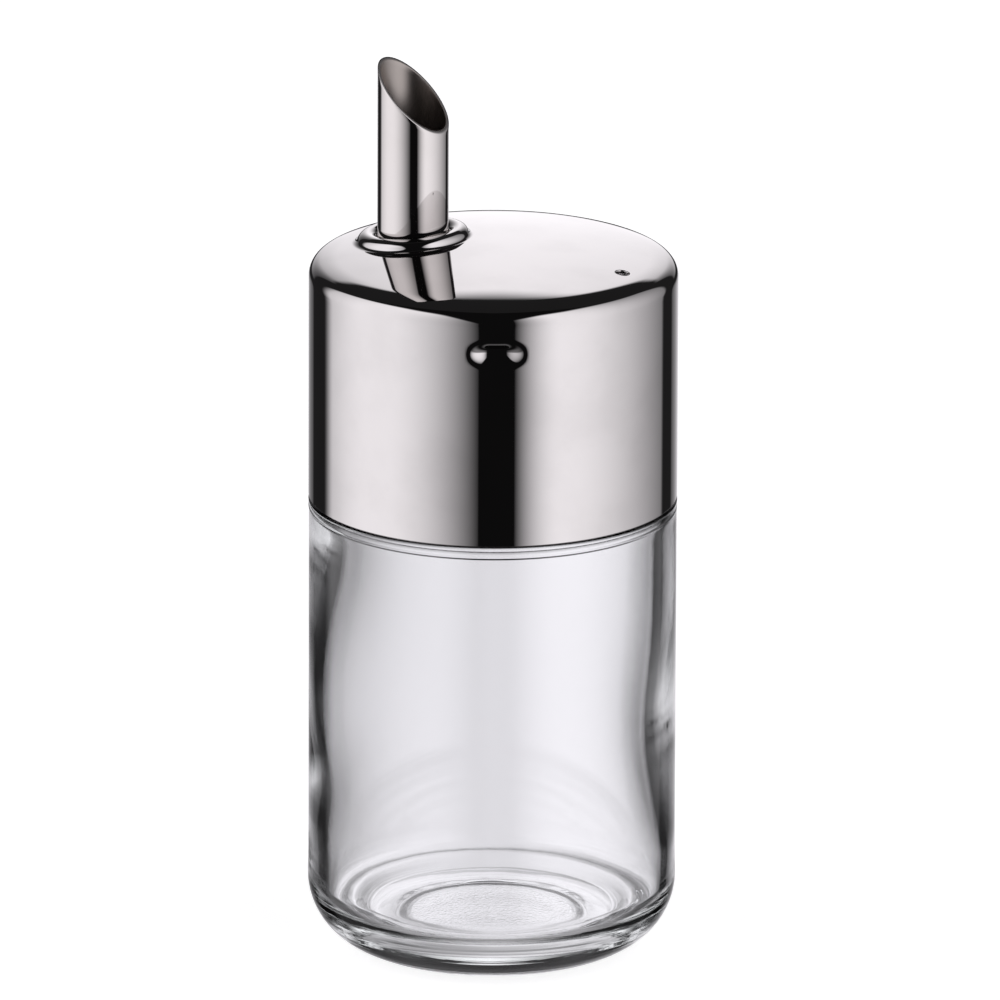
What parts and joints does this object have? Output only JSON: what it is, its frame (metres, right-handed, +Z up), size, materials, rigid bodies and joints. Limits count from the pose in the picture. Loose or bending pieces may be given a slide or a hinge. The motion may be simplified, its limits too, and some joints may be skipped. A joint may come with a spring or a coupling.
{
  "type": "cream dispenser",
  "caption": "Round glass jar with a polished steel cap that turns under lugs, a slant-cut pouring tube and a small vent.",
  "frame": {"origin": "centre of the jar's base, on the surface that it stands on", "axes": "+Z up along the jar's axis; the picture looks along +Y from above, with +X to its right"},
  "size_m": [0.057, 0.057, 0.1396],
  "materials": {
    "clear_glass": "clear pressed glass, fire-polished, stippled under the base",
    "polished_steel": "drawn stainless steel sheet, mirror polished",
    "polished_steel_tube": "stainless steel tube, mirror polished outside",
    "clear_silicone": "moulded translucent silicone, satin"
  },
  "bodies": {
    "jar": {"glass_jar": "clear_glass"},
    "seal": {"seal_ring": "clear_silicone"},
    "cap": {"cap_shell": "polished_steel", "spout_tube": "polished_steel_tube"}
  },
  "joints": [
    {"name": "cap_lift", "type": "slide", "parent": "jar", "child": "seal", "axis": [0, 0, 1], "range_m": [0, 0.045]},
    {"name": "cap_turn", "type": "hinge", "parent": "seal", "child": "cap", "pos_m": [0, 0, 0.0721], "axis": [0, 0, 1], "range_deg": [-45, 0]}
  ]
}
